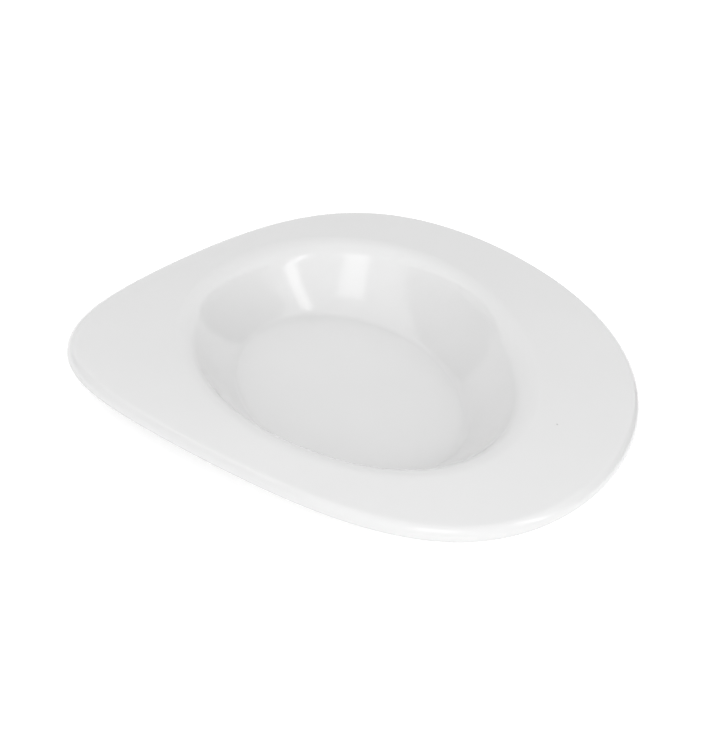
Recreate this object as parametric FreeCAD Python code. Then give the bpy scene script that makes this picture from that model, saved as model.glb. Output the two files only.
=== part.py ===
"""Bariatric bedpan: one moulded shell with a tilted, egg-shaped sitting flange and a sunken basin.

Frame: millimetres, +Z up, the origin in the middle of the flat base, the blunt low end towards -X.
Closed rings carry the shell. Each ring joins the same station of a radial profile, which runs from
the lip, round the rolled edge, up the flange, over the shoulder and down into the basin.
"""
import FreeCAD, Part
import math
import os
from itertools import accumulate

# Sizes in millimetres, angles in degrees.
SIZES = {
    # the flange seen from above
    "overall_length": 395.0,
    "overall_width": 353.0,
    "outline_taper": 0.26,       # how much narrower the low end is than the broad one
    "outline_flatness": -0.097,  # how far the sides fill out
    "outline_nose": -0.024,      # how blunt the low end is
    "outline_tip": 0.017,        # how flat its very tip is
    # heights above the base, in the middle of the pan
    "crest_height": 42.2,
    "flange_rise": 5.2,          # from the outer edge up to the crest
    "flange_tilt": 4.35,         # up towards the broad end
    "edge_radius": 7.0,
    "lip_drop": 0.8,             # straight down below the rolled edge, before the lip ends
    # mouth of the basin, along the crest
    "mouth_length": 252.4,
    "mouth_width": 266.8,
    "mouth_shift": -2.2,
    "mouth_taper": 0.082,
    "shoulder_radius": 18.0,
    "wall_hollow": 8.5,          # how much steeper the basin wall is at its top than its chord
    # floor of the basin, at the foot of its wall
    "floor_length": 166.0,
    "floor_width": 173.6,
    "floor_shift": 2.4,
    "floor_fillet": 8.0,
    # moulding
    "wall": 3.0,
}
RING_POINTS = 48
BEND_STEPS = 6
FLANGE_STEPS = 6
LIP_STEPS = 2
SMALL_TURN = math.pi / 720      # over which the direction of a guide curve is measured
CLOSING_ROUNDS = 12             # of fitting the basin wall between its shoulder and its fillet
UP = FreeCAD.Vector(0, 0, 1)

doc = FreeCAD.newDocument("bedpan")
sheet = doc.addObject("Spreadsheet::Sheet", "sizes")
for row, (name, value) in enumerate(SIZES.items(), start=1):
    sheet.set(f"A{row}", name)
    sheet.set(f"B{row}", str(value))
    sheet.setAlias(f"B{row}", name)
doc.recompute()


def size(name):
    """Value of one named cell of the sheet."""
    return float(getattr(sheet, name))


# ---- guide curves: the outer edge, the crest and the foot of the basin wall ---------------------
def egg(turn, centre, length, width, taper, flatness=0.0, nose=0.0, tip=0.0):
    """Point of an egg-shaped outline: an ellipse whose width is swelled along its length."""
    def swell(angle):
        return math.sin(angle) * (1 + taper * math.cos(angle) + flatness * math.cos(2 * angle)
                                  + nose * math.cos(3 * angle) + tip * math.cos(4 * angle))

    widest = max(swell(math.radians(angle)) for angle in range(181))
    return FreeCAD.Vector(centre + length / 2 * math.cos(turn), width / 2 * swell(turn) / widest, 0)


def crest_level(point):
    """Height of the tilted crest plane over a point of the base."""
    return size("crest_height") + point.x * math.tan(math.radians(size("flange_tilt")))


def rim_point(turn):
    """Corner of the outer edge, before it is rounded."""
    point = egg(turn, 0, size("overall_length"), size("overall_width"), size("outline_taper"),
                size("outline_flatness"), size("outline_nose"), size("outline_tip"))
    point.z = crest_level(point) - size("flange_rise")
    return point


def crest_point(turn):
    """Inner edge of the flange, where it begins to turn down into the basin."""
    point = egg(turn, size("mouth_shift"), size("mouth_length"), size("mouth_width"), size("mouth_taper"))
    point.z = crest_level(point)
    return point


def foot_point(turn):
    """Corner between the basin wall and its floor, before it is filleted."""
    point = egg(turn, size("floor_shift"), size("floor_length"), size("floor_width"), 0)
    point.z = size("wall")
    return point


# ---- radial profile -----------------------------------------------------------------------------
def heading(start, end):
    """Horizontal unit vector from one point towards another."""
    return FreeCAD.Vector(end.x - start.x, end.y - start.y, 0).normalize()


def course_of(guide, turn):
    """Vector along a guide curve."""
    return guide(turn + SMALL_TURN) - guide(turn - SMALL_TURN)


def facing(outward, lean):
    """Unit normal that leans outward from the vertical by an angle."""
    return outward * math.sin(lean) + UP * math.cos(lean)


def inward_run(outward, lean):
    """Direction of the profile towards the basin, where its normal leans outward by an angle."""
    return UP * math.sin(lean) - outward * math.cos(lean)


def bend(centre, outward, radius, first, last):
    """Stations round an arc, from one lean of the normal to another. A hollow has a radius below 0."""
    leans = [first + (last - first) * step / BEND_STEPS for step in range(BEND_STEPS + 1)]
    return [(centre + facing(outward, lean) * radius, inward_run(outward, lean)) for lean in leans]


def run(start, end, steps):
    """Stations inside a straight stretch between two points, closer together towards its ends."""
    course = (end - start).normalize()
    shares = [(1 - math.cos(math.pi * step / steps)) / 2 for step in range(1, steps)]
    return [(start + (end - start) * share, course) for share in shares]


def basin_side(centre, foot, outward):
    """Leans of the basin wall at its top and bottom, with its radius and the centre of its fillet.

    The wall is a hollow arc. It leaves the shoulder round `centre` without a crease, and meets the
    floor fillet without one. Its chord leans by `slope`, and the wall by `hollow` more at its top
    and as much less at its bottom. The fillet depends on that lean, so they are found in rounds.
    """
    hollow = math.radians(size("wall_hollow"))
    fillet = size("floor_fillet")
    low = foot
    for _ in range(CLOSING_ROUNDS):
        reach = low - centre
        slope = math.atan2(reach.dot(outward), reach.z)
        slope += math.acos(size("shoulder_radius") * math.cos(hollow) / reach.Length)
        bottom = slope + hollow
        fillet_centre = foot - outward * fillet * math.tan(-bottom / 2) + UP * fillet
        low = fillet_centre - facing(outward, bottom) * fillet
    top = slope - hollow
    chord = low - centre - facing(outward, top) * size("shoulder_radius")
    return top, bottom, chord.Length / (2 * math.sin(hollow)), fillet_centre


def profile(turn):
    """Stations of the upper skin, each a point and its course, from the lip to the basin floor."""
    rim = rim_point(turn)
    crest = crest_point(turn)
    foot = foot_point(turn)

    # Rolled edge: an arc that touches the upright lip and the sloping flange. The profile crosses
    # the rim at a slant, so the arc is stretched along it and stays round where it is cut square.
    outward = heading(crest, rim)
    along = course_of(rim_point, turn)
    square = outward.dot(FreeCAD.Vector(along.y, -along.x, 0).normalize())
    fall = math.atan2(crest.z - rim.z, (rim - crest).dot(outward) * square)
    drop = size("edge_radius") * (1 / math.cos(fall) - math.tan(fall))
    outward *= 1 / square
    edge = bend(rim - outward * size("edge_radius") - UP * drop, outward, size("edge_radius"),
                math.pi / 2, fall)
    lip_end = edge[0][0] - UP * size("lip_drop")

    # Shoulder: an arc that leaves the flange without a crease and turns down into the wall.
    crest_normal = (rim - crest).cross(course_of(crest_point, turn)).normalize()
    outward = heading(foot, crest)
    start = math.atan2(crest_normal.dot(outward), crest_normal.z)
    centre = crest - facing(outward, start) * size("shoulder_radius")
    top, bottom, wall_radius, fillet_centre = basin_side(centre, foot, outward)
    shoulder = bend(centre, outward, size("shoulder_radius"), start, top)

    # Basin wall and floor fillet: two hollow arcs, the second one down to the level floor.
    wall_centre = shoulder[-1][0] + facing(outward, top) * wall_radius
    basin_wall = bend(wall_centre, outward, -wall_radius, top, bottom)[1:-1]
    floor_bend = bend(fillet_centre, outward, -size("floor_fillet"), bottom, 0)

    lip = [(lip_end, UP)] + run(lip_end, edge[0][0], LIP_STEPS)
    flange = run(edge[-1][0], shoulder[0][0], FLANGE_STEPS)
    return lip + edge + flange + shoulder + basin_wall + floor_bend


# ---- rings and skin -----------------------------------------------------------------------------
def skin_rings():
    """Rings of the upper skin, through the same station of every profile, and their unit normals."""
    profiles = [profile(2 * math.pi * number / RING_POINTS) for number in range(RING_POINTS)]
    rings = []
    normals = []
    for stations in zip(*profiles):
        points = [point for point, course in stations]
        rings.append(points)
        normals.append([
            (points[(number + 1) % RING_POINTS] - points[number - 1]).cross(course).normalize()
            for number, (point, course) in enumerate(stations)
        ])
    return rings, normals


def shell_rings():
    """Rings from the base, up the lower skin, round the lip and along the upper skin to the floor."""
    upper, normals = skin_rings()
    lower = [
        [point - normal * size("wall") for point, normal in zip(points, leans)]
        for points, leans in zip(upper, normals)
    ]
    half_wall = size("wall") / 2
    lip = []
    for step in range(1, BEND_STEPS):
        swing = math.pi * step / BEND_STEPS
        lip.append([
            point - normal * half_wall * (1 + math.cos(swing)) - UP * half_wall * math.sin(swing)
            for point, normal in zip(upper[0], normals[0])
        ])
    return lower[::-1] + lip + upper


def skin_surface(rings, reach):
    """Smooth surface through closed rings, which lie at the given distances along the profile."""
    turns = [float(number) for number in range(RING_POINTS + 1)]
    around = [Part.BSplineCurve() for points in rings]
    for curve, points in zip(around, rings):
        curve.interpolate(Points=points, Parameters=turns, PeriodicFlag=True)

    across = []
    for column in zip(*[curve.getPoles() for curve in around]):
        curve = Part.BSplineCurve()
        curve.interpolate(Points=list(column), Parameters=reach)
        across.append(curve)

    surface = Part.BSplineSurface()
    surface.buildFromPolesMultsKnots(
        [curve.getPoles() for curve in across],
        around[0].getMultiplicities(), across[0].getMultiplicities(),
        around[0].getKnots(), across[0].getKnots(),
        True, False, around[0].Degree, across[0].Degree,
    )
    return surface


def profile_distances(rings):
    """Mean distance of each ring from the first one, measured along the profile."""
    distances = [0.0]
    for near, far in zip(rings, rings[1:]):
        gaps = [(there - here).Length for here, there in zip(near, far)]
        distances.append(distances[-1] + sum(gaps) / len(gaps))
    return distances


def pan_shape():
    """The moulding: one face for each bend and run of the skin, closed by the base and the floor."""
    rings = shell_rings()
    reach = profile_distances(rings)
    skin = skin_surface(rings, reach)
    first_turn, last_turn = skin.bounds()[:2]

    underside = [BEND_STEPS, BEND_STEPS, BEND_STEPS, FLANGE_STEPS, BEND_STEPS, LIP_STEPS]
    seams = [0] + list(accumulate(underside + [BEND_STEPS] + underside[::-1]))
    faces = []
    for start, end in zip(seams, seams[1:]):
        strip = skin.copy()
        strip.segment(first_turn, last_turn, reach[start], reach[end])
        faces.append(strip.toShape())
    for flat in (reach[0], reach[-1]):
        faces.append(Part.Face(Part.Wire([skin.vIso(flat).toShape()])))

    shell = Part.makeShell(faces)
    shell.sewShape()
    solid = Part.Solid(shell)
    if solid.Volume < 0:
        solid.reverse()
    return solid


# ---- document -----------------------------------------------------------------------------------
pan = doc.addObject("Part::Feature", "pan")
pan.Label = "pan"
pan.Shape = pan_shape()
pan.Placement = FreeCAD.Placement()

doc.recompute()
for item in doc.Objects:
    if "Invalid" in item.State or "Error" in item.State:
        raise RuntimeError(f"{item.Label} did not compute")
if pan.Shape.isNull() or not pan.Shape.isValid() or len(pan.Shape.Solids) != 1:
    raise RuntimeError("the pan is not one valid solid")

os.makedirs("parts", exist_ok=True)
pan.Shape.exportStep(f"parts/{pan.Label}.step")
print(f"{pan.Label}: {pan.Shape.Volume / 1000:.1f} cm3, {pan.Shape.BoundBox}")
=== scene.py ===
# %% [markdown]
# # A bedpan for a large patient
# The real pan is one white polypropylene moulding. A wide flange, shaped like an egg, carries the
# patient. It slopes down to a rolled lip all round, and inside it a soft shoulder turns over into a
# basin with a flat floor. Its low, blunt end slides under the patient.
#
# The construction comes first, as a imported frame. This lesson adds the looks around it: the smooth
# skin of the moulding, its plastic, and the studio that shows its gloss.

# %% Load the frame
import math

import bpy
import numpy as np
from mathutils import Matrix, Quaternion, Vector


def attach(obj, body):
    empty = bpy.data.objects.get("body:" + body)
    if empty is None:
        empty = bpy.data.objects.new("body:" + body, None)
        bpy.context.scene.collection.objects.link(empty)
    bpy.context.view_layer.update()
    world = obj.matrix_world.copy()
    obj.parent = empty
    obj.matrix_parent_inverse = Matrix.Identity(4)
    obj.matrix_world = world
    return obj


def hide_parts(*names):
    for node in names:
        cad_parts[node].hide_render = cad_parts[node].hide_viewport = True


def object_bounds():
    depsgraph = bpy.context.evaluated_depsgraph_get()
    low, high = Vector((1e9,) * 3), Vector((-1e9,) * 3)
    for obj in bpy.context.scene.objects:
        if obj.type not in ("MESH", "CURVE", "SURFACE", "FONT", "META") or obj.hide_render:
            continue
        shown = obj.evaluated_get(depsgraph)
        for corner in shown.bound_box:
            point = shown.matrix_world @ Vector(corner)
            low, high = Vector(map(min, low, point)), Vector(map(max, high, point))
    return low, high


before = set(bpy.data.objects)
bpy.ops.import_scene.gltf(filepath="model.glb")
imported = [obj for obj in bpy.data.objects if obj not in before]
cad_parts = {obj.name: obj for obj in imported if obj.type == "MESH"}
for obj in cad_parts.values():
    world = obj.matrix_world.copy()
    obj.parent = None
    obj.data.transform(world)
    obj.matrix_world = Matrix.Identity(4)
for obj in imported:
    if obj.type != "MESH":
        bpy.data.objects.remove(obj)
cad_low, cad_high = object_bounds()
LENGTH, WIDTH, HEIGHT = (round(side, 4) for side in cad_high - cad_low)
print(f"frame: {LENGTH * 1000:.1f} x {WIDTH * 1000:.1f} x {HEIGHT * 1000:.1f} mm")

# %% [markdown]
# ## Three guide curves
# A moulded pan could be sculpted, or subdivided from a coarse cage. Both leave its wall and its radii
# to the eye. Three closed curves say more: the outer edge, the crest where the flange turns over, and
# the foot of the basin wall. Everything else is an arc or a straight run between them.
#
# Each curve is an egg: an ellipse whose width is swelled along its length by a few cosines. One array
# of turns gives all the points of a curve at once.

# %% The egg formula
TURNS = 288
WIDEST_STEPS = 180
turn = np.linspace(0, 2 * math.pi, TURNS, endpoint=False)


def egg(turn, centre, length, width, *swells):
    """x = centre + length/2 cos t; y = width/2 sin t (1 + a cos t + b cos 2t + c cos 3t + ...), scaled
    so that the widest place is the given width. The swells are a, b, c and so on."""
    def swell(angle):
        return np.sin(angle) * (1 + sum(size * np.cos((number + 1) * angle)
                                        for number, size in enumerate(swells)))

    widest = swell(np.linspace(0, math.pi, WIDEST_STEPS + 1)).max()
    return np.stack([centre + length / 2 * np.cos(turn), width / 2 * swell(turn) / widest, 0 * turn], -1)


# %% Heights and guide curves
WALL = 0.003
CREST_HEIGHT = 0.0422
FLANGE_RISE = 0.0052
FLANGE_TILT = math.radians(4.35)
RIM_SWELLS = (0.26, -0.097, -0.024, 0.017)
CREST_CENTRE = -0.0022
CREST_LENGTH = 0.2524
CREST_WIDTH = 0.2668
CREST_SWELL = 0.082
FOOT_CENTRE = 0.0024
FOOT_LENGTH = 0.166
FOOT_WIDTH = 0.1736
UP = np.array([0.0, 0.0, 1.0])


def lifted(plan, drop=0.0):
    """z = crest height + x tan(tilt) - drop: puts a flat curve on the tilted plane of the crest."""
    plan[..., 2] = CREST_HEIGHT + plan[..., 0] * math.tan(FLANGE_TILT) - drop
    return plan


def rim_at(turn):
    """Corner of the outer edge, before it is rounded."""
    return lifted(egg(turn, 0, LENGTH, WIDTH, *RIM_SWELLS), FLANGE_RISE)


def crest_at(turn):
    """Inner edge of the flange, where it begins to turn down."""
    return lifted(egg(turn, CREST_CENTRE, CREST_LENGTH, CREST_WIDTH, CREST_SWELL))


def foot_at(turn):
    """Corner between the basin wall and the floor, before it is filleted."""
    return egg(turn, FOOT_CENTRE, FOOT_LENGTH, FOOT_WIDTH) + WALL * UP


levels = crest_at(turn)[:, 2] * 1000
print(f"crest: {levels.min():.0f} mm high at the low end, {levels.max():.0f} mm at the broad one")

# %% [markdown]
# ## The radial profile
# A section through the pan is made of six stretches: upright lip, rolled edge, flange, shoulder, basin
# wall, floor fillet. The lip and the flange are straight, and the rest are arcs. The wall's arc is
# hollow and large. How steep it is depends on how far the crest stands above the floor there, so
# each bend's angles are worked out for every turn together.
#
# A bend is kept as a list of leans: the angle of its normal from the vertical, outward above zero.

# %% Bends and runs
LIP_DROP = 0.0008
EDGE_RADIUS = 0.007
SHOULDER_RADIUS = 0.018
WALL_HOLLOW = math.radians(8.5)
FLOOR_FILLET = 0.008


def unit(vectors):
    """Each vector over its length."""
    return vectors / np.linalg.norm(vectors, axis=-1, keepdims=True)


def heading(start, end):
    """Horizontal unit vectors from one curve towards another."""
    return unit((end - start) * np.array([1, 1, 0]))


def facing(outward, lean):
    """outward sin lean + up cos lean: unit normals that lean outward from the vertical."""
    return outward * np.sin(lean)[..., None] + UP * np.cos(lean)[..., None]


def bend(centre, outward, radius, first, last, steps):
    """centre + radius x the normal of each lean, for leans spaced evenly from first to last.
    A hollow bend has a negative radius. Returns (steps + 1, turns, 3) points and courses."""
    share = np.linspace(0, 1, steps + 1)[:, None]
    lean = first + (last - first) * share
    return centre + radius * facing(outward, lean), facing(outward, lean - math.pi / 2)


def run(start, end, steps):
    """start + share (end - start), without its two ends. Returns points and their one course."""
    share = np.linspace(0, 1, steps + 1)[1:-1, None, None]
    points = start + share * (end - start)
    return points, np.broadcast_to(unit(end - start), points.shape)


# %% [markdown]
# The wall's arc touches the shoulder's arc above it. The line through both of its ends, its chord,
# then keeps a fixed distance from the middle of the shoulder: radius times cos(hollow). That gives
# the lean of the chord at once. The fillet below depends on the lean in turn, and a few rounds
# settle the two.

# %% The lean of the basin wall
CLOSING_ROUNDS = 12


def basin_side(centre, foot, outward):
    """Lean of the chord = angle of the reach + arccos(radius cos(hollow) / reach). Returns the leans of
    the wall at its top and bottom, its radius = chord / (2 sin(hollow)), and the fillet's centre."""
    low = foot
    for _ in range(CLOSING_ROUNDS):
        reach = low - centre
        slope = (np.arctan2(np.sum(reach * outward, -1), reach[:, 2])
                 + np.arccos(SHOULDER_RADIUS * math.cos(WALL_HOLLOW) / np.linalg.norm(reach, axis=-1)))
        top, bottom = slope - WALL_HOLLOW, slope + WALL_HOLLOW
        fillet_centre = foot + outward * (FLOOR_FILLET * np.tan(bottom / 2))[:, None] + UP * FLOOR_FILLET
        low = fillet_centre - FLOOR_FILLET * facing(outward, bottom)
    chord = low - centre - SHOULDER_RADIUS * facing(outward, top)
    return top, bottom, np.linalg.norm(chord, axis=-1) / (2 * math.sin(WALL_HOLLOW)), fillet_centre


# %% [markdown]
# The stretches are then laid end to end, from the lip inward. Every section runs straight from one
# guide curve to the next, so it cuts the rim at a slant in places, and the rolled edge has to allow
# for that to stay round. The directions along the curves come from two turns a little apart.

# %% The upper skin
SMALL_TURN = math.pi / 720
LIP_STEPS = 4
EDGE_STEPS = 12
FLANGE_STEPS = 16
SHOULDER_STEPS = 20
WALL_STEPS = 20
FILLET_STEPS = 8


def edge_bend(rim, crest):
    """Points and courses of the rolled edge. It is round when it is cut square to the rim, so along
    this slanted section it is stretched by one over the cosine between the two directions."""
    outward = heading(crest, rim)
    along = rim_at(turn + SMALL_TURN) - rim_at(turn - SMALL_TURN)
    square = np.sum(outward * unit(np.stack([along[:, 1], -along[:, 0], 0 * turn], -1)), -1)
    fall = np.arctan2(crest[:, 2] - rim[:, 2], np.sum((rim - crest) * outward, -1) * square)
    drop = EDGE_RADIUS * (1 / np.cos(fall) - np.tan(fall))
    outward = outward / square[:, None]
    centre = rim - outward * EDGE_RADIUS - UP * drop[:, None]
    return bend(centre, outward, EDGE_RADIUS, np.full_like(fall, math.pi / 2), fall, EDGE_STEPS)


def basin_bends(rim, crest, foot):
    """Points and courses of the shoulder, the basin wall and the floor fillet."""
    along = crest_at(turn + SMALL_TURN) - crest_at(turn - SMALL_TURN)
    normal = unit(np.cross(rim - crest, along))
    outward = heading(foot, crest)
    start = np.arctan2(np.sum(normal * outward, -1), normal[:, 2])
    centre = crest - SHOULDER_RADIUS * facing(outward, start)
    top, bottom, wall_radius, fillet_centre = basin_side(centre, foot, outward)
    shoulder = bend(centre, outward, SHOULDER_RADIUS, start, top, SHOULDER_STEPS)
    wall_centre = shoulder[0][-1] + wall_radius[:, None] * facing(outward, top)
    wall = bend(wall_centre, outward, -wall_radius[:, None], top, bottom, WALL_STEPS)
    fillet = bend(fillet_centre, outward, -FLOOR_FILLET, bottom, 0 * bottom, FILLET_STEPS)
    return shoulder, [part[1:-1] for part in wall], fillet


def upper_skin():
    """Points and courses of the upper skin, from the lip to the basin floor."""
    rim, crest, foot = rim_at(turn), crest_at(turn), foot_at(turn)
    edge = edge_bend(rim, crest)
    shoulder, wall, fillet = basin_bends(rim, crest, foot)
    lip_end = edge[0][0] - UP * LIP_DROP
    lip_start = (lip_end[None], np.broadcast_to(UP, lip_end[None].shape))
    lip = run(lip_end, edge[0][0], LIP_STEPS)
    flange = run(edge[0][-1], shoulder[0][0], FLANGE_STEPS)
    stretches = (lip_start, lip, edge, flange, shoulder, wall, fillet)
    return [np.concatenate(part) for part in zip(*stretches)]


upper, course = upper_skin()
around = np.roll(upper, -1, axis=1) - np.roll(upper, 1, axis=1)
normal = unit(np.cross(around, course))
print("upper skin:", upper.shape[0], "rings of", upper.shape[1], "points")

# %% [markdown]
# ## One closed skin
# The lower skin lies one wall behind the upper one, along its normals. Those come from the cross
# product of two directions that are already known: round a ring, and along the profile. A half-round
# joins the two skins at the lip, and rings that shrink to a point close the floor and the base.
#
# Solidify could have made the wall. Worked out here, it keeps the lip fully rounded.

# %% Stack the rings
LIP_ROUND_STEPS = 8
DISC_RINGS = 24


def lip_rings(edge, normal):
    """edge - normal w/2 (1 + cos a) - up w/2 sin a, for a from 0 to pi: the half-round of the lip."""
    angle = np.linspace(0, math.pi, LIP_ROUND_STEPS + 1)[1:-1, None, None]
    return edge - normal * WALL / 2 * (1 + np.cos(angle)) - UP * WALL / 2 * np.sin(angle)


def disc_rings(edge):
    """Rings of a flat disc, each a share of the way from its edge to its middle."""
    share = np.linspace(0, 1, DISC_RINGS + 1)[1:-1, None, None]
    return edge + share * (edge.mean(axis=0) - edge)


lower = upper - WALL * normal
rings = np.concatenate([
    disc_rings(lower[-1])[::-1], lower[::-1], lip_rings(upper[0], normal[0]), upper, disc_rings(upper[-1]),
])
print("skin:", rings.shape[0], "rings")


# %% Make the mesh
def closed_mesh(name, rings, first_pole, last_pole):
    """Quads between neighbouring rings, and a fan of triangles from each pole to its nearest ring."""
    count, turns = rings.shape[:2]
    points = np.concatenate([rings.reshape(-1, 3), [first_pole, last_pole]])
    here = np.arange(turns)
    there = np.roll(here, -1)
    rows = np.arange(count - 1)[:, None] * turns
    quads = np.stack([rows + here, rows + there, rows + turns + there, rows + turns + here], -1)
    last_row = (count - 1) * turns
    fans = [
        np.stack([np.full(turns, count * turns), there, here], -1),
        np.stack([np.full(turns, count * turns + 1), last_row + here, last_row + there], -1),
    ]
    mesh = bpy.data.meshes.new(name)
    mesh.from_pydata(points.tolist(), [], quads.reshape(-1, 4).tolist() + np.concatenate(fans).tolist())
    mesh.shade_smooth()
    return mesh


pan = bpy.data.objects.new("pan_skin", closed_mesh("pan_skin", rings, lower[-1].mean(axis=0),
                                                    upper[-1].mean(axis=0)))
bpy.context.scene.collection.objects.link(pan)
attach(pan, "root")
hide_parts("pan")
print("pan_skin:", len(pan.data.polygons), "faces")

# %% [markdown]
# ## Shader maths as Python
# Node trees are long to write by hand. A small class wraps a socket, so that `1 - mask * 0.2` adds the
# Math nodes it needs, and one method makes any other node.

# %% A socket that can be calculated with
class Value:
    """A node socket that adds Math nodes when it is calculated with."""

    def __init__(self, tree, socket):
        self.tree = tree
        self.socket = socket

    def math(self, operation, other, swapped=False):
        """One Math node on this socket and another socket or number."""
        first, second = (other, self) if swapped else (self, other)
        return self.tree.node("ShaderNodeMath", {"operation": operation}, {0: first, 1: second}, 0)

    def __add__(self, other):
        return self.math("ADD", other)

    __radd__ = __add__

    def __mul__(self, other):
        return self.math("MULTIPLY", other)

    __rmul__ = __mul__

    def __sub__(self, other):
        return self.math("SUBTRACT", other)

    def __rsub__(self, other):
        return self.math("SUBTRACT", other, swapped=True)


class Tree:
    """A material or world node tree that is written to as Python."""

    def __init__(self, owner):
        owner.use_nodes = True
        self.nodes = owner.node_tree.nodes
        self.links = owner.node_tree.links
        self.nodes.clear()

    def node(self, kind, settings, inputs, output):
        """Any node: its settings first, then the values or links of its inputs. Returns the named
        output, or the whole node for None."""
        made = self.nodes.new(kind)
        for name, value in settings.items():
            setattr(made, name, value)
        for name, value in inputs.items():
            if isinstance(value, Value):
                self.links.new(value.socket, made.inputs[name])
            else:
                made.inputs[name].default_value = value
        return Value(self, made.outputs[output]) if output is not None else made


def grey(level):
    """A colour with red, green and blue alike, fully opaque."""
    return (level, level, level, 1)


# %% [markdown]
# ## White polypropylene
# The plastic is a soft, slightly translucent white, so a little of the light wanders inside the wall
# before it leaves. Its gloss comes from a polished mould: it is sharp, with a faint orange peel from
# cooling. Washing and stacking leave fine rubbing marks, the base is scuffed where it stands, and one
# dark fleck of carbon from the moulding sits in the broad flange.
#
# A picture wrapped over the pan could hold all that. Noise and plain masks do it without a seam, and
# they read Object coordinates, so their sizes are metres on the pan.

# %% Noise and blends
def noise(tree, place, scale, detail, stretch=(1, 1, 1)):
    """Cloudy noise with about scale x stretch lumps per metre along each axis."""
    spot = tree.node("ShaderNodeVectorMath", {"operation": "MULTIPLY"}, {0: place, 1: stretch}, 0)
    return tree.node("ShaderNodeTexNoise", {}, {"Vector": spot, "Scale": scale, "Detail": detail}, "Fac")


def blend(tree, factor, first, second):
    """first + factor (second - first). Each of the two is a colour, or a number for a grey."""
    first, second = (grey(tone) if isinstance(tone, float) else tone for tone in (first, second))
    return tree.node("ShaderNodeMix", {"data_type": "RGBA"}, {"Factor": factor, 6: first, 7: second}, 2)


# %% Wear and the fleck
RUB_START = 0.62
RUB_SHARPNESS = 6.0
SCUFF_HEIGHT = 0.0006
FLECK = (0.1213, -0.0754, 0.0503)
FLECK_RADIUS = 0.0007


def rubbing(tree, place):
    """Fine marks along and across the pan: sharpness x (the larger of two drawn-out noises - start),
    kept between 0 and 1."""
    lengthwise = noise(tree, place, scale=30.0, detail=4.0, stretch=(1, 22, 22))
    crosswise = noise(tree, place, scale=26.0, detail=4.0, stretch=(24, 1, 24))
    marks = lengthwise.math("MAXIMUM", crosswise) - RUB_START
    return tree.node("ShaderNodeMath", {"operation": "MULTIPLY", "use_clamp": True},
                     {0: marks, 1: RUB_SHARPNESS}, 0)


def scuffing(tree, place):
    """1 where the height is below the scuff height, on the flat of the base and just round it."""
    height = tree.node("ShaderNodeSeparateXYZ", {}, {"Vector": place}, "Z")
    return height.math("LESS_THAN", SCUFF_HEIGHT)


def carbon_fleck(tree, place):
    """1 where the distance to the fleck is below its radius."""
    far = tree.node("ShaderNodeVectorMath", {"operation": "DISTANCE"}, {0: place, 1: FLECK}, "Value")
    return far.math("LESS_THAN", FLECK_RADIUS)


# %% The plastic
WHITE = 0.77
CLOUDING = 0.015
SCUFFED_WHITE = WHITE * 0.92
FLECK_GREY = WHITE * 0.35
SCUFF_SHARE = 0.5
FLECK_SHARE = 0.4
POLISH = 0.09
PEEL_SHARE = 0.8
PEEL_STRENGTH = 0.06
PEEL_HEIGHT = 0.0002
REFRACTION = 1.49
GLOW_SHARE = 0.4
GLOW_DEPTH = 0.004


def polypropylene():
    """Glossy white plastic. Tone: white, clouded, then blended towards the scuffs and the fleck.
    Roughness: polish plus shares of the clouding, grain, rubbing and scuffing. Relief: mostly peel."""
    material = bpy.data.materials.new("white_polypropylene")
    tree = Tree(material)
    place = tree.node("ShaderNodeTexCoord", {}, {}, "Object")
    cloud = noise(tree, place, scale=14.0, detail=3.0)
    peel = noise(tree, place, scale=260.0, detail=1.0)
    grain = noise(tree, place, scale=1400.0, detail=2.0)
    rubbed, scuffed, fleck = rubbing(tree, place), scuffing(tree, place), carbon_fleck(tree, place)

    tone = blend(tree, cloud, WHITE * (1 - CLOUDING), WHITE * (1 + CLOUDING))
    tone = blend(tree, scuffed * SCUFF_SHARE, tone, SCUFFED_WHITE)
    tone = blend(tree, fleck * FLECK_SHARE, tone, FLECK_GREY)
    rough = POLISH + cloud * 0.03 + grain * 0.03 + rubbed * 0.05 + scuffed * 0.25
    bumps = peel * PEEL_SHARE + grain * (1 - PEEL_SHARE)
    relief = tree.node("ShaderNodeBump", {}, {
        "Strength": PEEL_STRENGTH, "Distance": PEEL_HEIGHT, "Height": bumps}, "Normal")
    surface = tree.node("ShaderNodeBsdfPrincipled", {}, {
        "Base Color": tone, "Roughness": rough, "Normal": relief, "IOR": REFRACTION,
        "Subsurface Weight": GLOW_SHARE, "Subsurface Radius": (1, 1, 1), "Subsurface Scale": GLOW_DEPTH,
    }, "BSDF")
    tree.node("ShaderNodeOutputMaterial", {}, {"Surface": surface}, None)
    return material


pan.data.materials.append(polypropylene())
print("white_polypropylene:", len(pan.active_material.node_tree.nodes), "nodes")

# %% [markdown]
# ## The studio
# A white pan on white has only its shading and its reflections to show its form, so the studio is a
# white tent, with lamps and dark screens placed for the gloss. First comes the camera. It stands in
# front of the pan, a little towards the low end, and looks down into the basin. It is also rolled.
# Three directions square to each other say all of that, so they go into its matrix as they are.

# %% Camera
VIEW_AZIMUTH = math.radians(-19.13)
VIEW_ELEVATION = math.radians(36.53)
VIEW_ROLL = math.radians(16.66)
VIEW_DISTANCE = 1.305
VIEW_LENS = 89.91
LOOK_AT = Vector((0.0014, 0, 0.0154))

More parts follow.
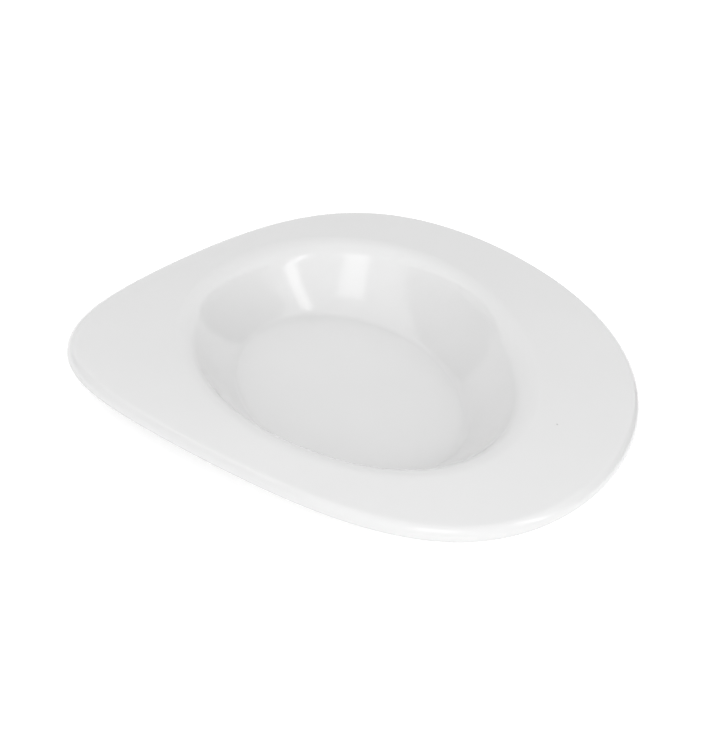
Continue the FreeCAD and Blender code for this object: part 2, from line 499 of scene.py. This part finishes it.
# back points from the pan to the camera, level lies flat across the view, and rise is square to both.
back = Vector((math.sin(VIEW_AZIMUTH) * math.cos(VIEW_ELEVATION),
               -math.cos(VIEW_AZIMUTH) * math.cos(VIEW_ELEVATION), math.sin(VIEW_ELEVATION)))
level = Vector((math.cos(VIEW_AZIMUTH), math.sin(VIEW_AZIMUTH), 0))
rise = back.cross(level)
across = level * math.cos(VIEW_ROLL) + rise * math.sin(VIEW_ROLL)
upward = rise * math.cos(VIEW_ROLL) - level * math.sin(VIEW_ROLL)
lens = bpy.data.cameras.new("camera")
lens.lens = VIEW_LENS
camera = bpy.data.objects.new("camera", lens)
camera.matrix_world = Matrix.Translation(LOOK_AT + back * VIEW_DISTANCE) @ Matrix(
    (across, upward, back)).transposed().to_4x4()
bpy.context.scene.collection.objects.link(camera)
bpy.context.scene.camera = camera
print(f"camera: {VIEW_LENS:.0f} mm lens, {VIEW_DISTANCE:.2f} m from the pan")

# %% [markdown]
# The floor is a pale matt sheet. Wherever it is looked at or mirrored it also glows, which brings it
# up to white around the pan and keeps the soft shadow under the rim. The glow is no lamp: apart from
# its gloss, the pan takes no light from it.

# %% Floor
FLOOR_SIZE = 6.0
FLOOR_WHITE = 0.82
FLOOR_GLOW = 0.60


def shown_rays(tree):
    """1 for a ray that has to meet a white studio: one looked along, mirrored or let through."""
    path = tree.node("ShaderNodeLightPath", {}, {}, None)
    kinds = ("Is Camera Ray", "Is Glossy Ray", "Is Transmission Ray")
    looked, mirrored, through = (Value(tree, path.outputs[kind]) for kind in kinds)
    return looked.math("MAXIMUM", mirrored).math("MAXIMUM", through)


def floor_material():
    """Pale matt floor that looks white and keeps its shadow."""
    material = bpy.data.materials.new("studio_floor")
    tree = Tree(material)
    lit = tree.node("ShaderNodeBsdfDiffuse", {}, {"Color": grey(FLOOR_WHITE)}, "BSDF")
    glow = tree.node("ShaderNodeEmission", {}, {"Color": grey(1), "Strength": FLOOR_GLOW}, "Emission")
    seen = tree.node("ShaderNodeAddShader", {}, {0: lit, 1: glow}, 0)
    shown = tree.node("ShaderNodeMixShader", {}, {0: shown_rays(tree), 1: lit, 2: seen}, 0)
    tree.node("ShaderNodeOutputMaterial", {}, {"Surface": shown}, None)
    return material


half = FLOOR_SIZE / 2
floor_mesh = bpy.data.meshes.new("floor")
floor_mesh.from_pydata([(-half, -half, 0), (half, -half, 0), (half, half, 0), (-half, half, 0)], [],
                       [(0, 1, 2, 3)])
floor_mesh.materials.append(floor_material())
floor = bpy.data.objects.new("floor", floor_mesh)
bpy.context.scene.collection.objects.link(floor)
print(f"floor: {FLOOR_SIZE:.0f} m square")

# %% [markdown]
# Soft light from all round does most of the work, so the lamps stay dim. Two tall ones, in front and
# to the right, are mirrored as the bright strips at the back of the basin wall. Three fills brighten
# the flange and add no gloss of their own, and a wide roof adds nothing but a soft gloss.

# %% Lamps
def softbox(name, place, aim, size, power, lights="all", lean=0.0):
    """A rectangular lamp that faces a point, turned by the lean about the line to it. It lights
    "all", the plain "colour" or the "gloss"."""
    light = bpy.data.lights.new(name, "AREA")
    light.shape = "RECTANGLE"
    light.size, light.size_y = size
    light.energy = power
    lamp = bpy.data.objects.new(name, light)
    lamp.location = place
    turned = (Vector(aim) - Vector(place)).to_track_quat("-Z", "Y")
    lamp.rotation_euler = (turned @ Quaternion((0, 0, 1), lean)).to_euler()
    lamp.visible_camera = False
    lamp.visible_glossy = lights != "colour"
    lamp.visible_diffuse = lights != "gloss"
    bpy.context.scene.collection.objects.link(lamp)


softbox("left_strip", place=(0.90, -0.54, 0.79), aim=(-0.02, 0.1, 0), size=(0.15, 0.84), power=1.4)
softbox("right_strip", place=(0.12, -0.966, 1.007), aim=(0.01, 0.1, 0), size=(0.44, 0.65), power=2.1,
        lean=math.radians(-8))
softbox("low_front", place=(0.3, -1.7, 0.32), aim=(0, 0, 0), size=(1.6, 0.4), power=5.5, lights="colour")
softbox("back_fill", place=(-0.9, 0.9, 0.9), aim=(0, 0, 0), size=(0.9, 0.9), power=2.5, lights="colour")
softbox("left_fill", place=(-1.2, -1.2, 0.6), aim=(0, 0, 0), size=(0.8, 0.8), power=4.8, lights="colour")
softbox("roof", place=(0.54, -1.2, 1.2), aim=(0.54, -1.2, 0), size=(2.9, 3.2), power=10, lights="gloss")
print("lamps:", len(bpy.data.lights))

# %% [markdown]
# A white tent alone leaves a glossy white basin without contrast. A dark screen, called a flag,
# stands on each side, and where the basin wall mirrors one the plastic looks darker, with a slanting
# edge. The flags take no light from the pan and throw no shadow.

# %% Flags
FLAG_FOOT = 0.05
FELT = 0.10


def flag(name, across, near, far, top):
    """An upright screen of dark felt, square to the x axis, which only the gloss sees."""
    mesh = bpy.data.meshes.new(name)
    corners = ((near, FLAG_FOOT), (far, FLAG_FOOT), (far, top), (near, top))
    mesh.from_pydata([(across, deep, high) for deep, high in corners], [], [(0, 1, 2, 3)])
    material = bpy.data.materials.new(name)
    tree = Tree(material)
    felt = tree.node("ShaderNodeBsdfDiffuse", {}, {"Color": grey(FELT)}, "BSDF")
    tree.node("ShaderNodeOutputMaterial", {}, {"Surface": felt}, None)
    mesh.materials.append(material)
    screen = bpy.data.objects.new(name, mesh)
    screen.visible_camera = screen.visible_diffuse = screen.visible_shadow = False
    bpy.context.scene.collection.objects.link(screen)
    print(f"{name}: {far - near:.2f} x {top - FLAG_FOOT:.2f} m")


flag("flag_left", across=-1.0, near=-1.0, far=0.75, top=1.32)
flag("flag_right", across=1.1, near=-0.34, far=0.80, top=1.0)

# %% [markdown]
# The world is the tent itself: even white light, a little below full strength where it lights the
# pan, and plain white where it is looked at or mirrored. The Standard view shows each colour as it is
# written.

# %% World
WORLD_LIGHT = 0.725


def studio_world():
    """Soft light all round; plain white wherever it is looked at or mirrored."""
    world = bpy.data.worlds.new("studio")
    tree = Tree(world)
    light = tree.node("ShaderNodeBackground", {}, {"Color": grey(1), "Strength": WORLD_LIGHT}, 0)
    white = tree.node("ShaderNodeBackground", {}, {"Color": grey(1), "Strength": 1.0}, 0)
    mixed = tree.node("ShaderNodeMixShader", {}, {0: shown_rays(tree), 1: light, 2: white}, 0)
    tree.node("ShaderNodeOutputWorld", {}, {"Surface": mixed}, None)
    bpy.context.scene.world = world


studio_world()
bpy.context.scene.view_settings.view_transform = "Standard"
print(f"world: {WORLD_LIGHT:.3f} of full white on the pan")
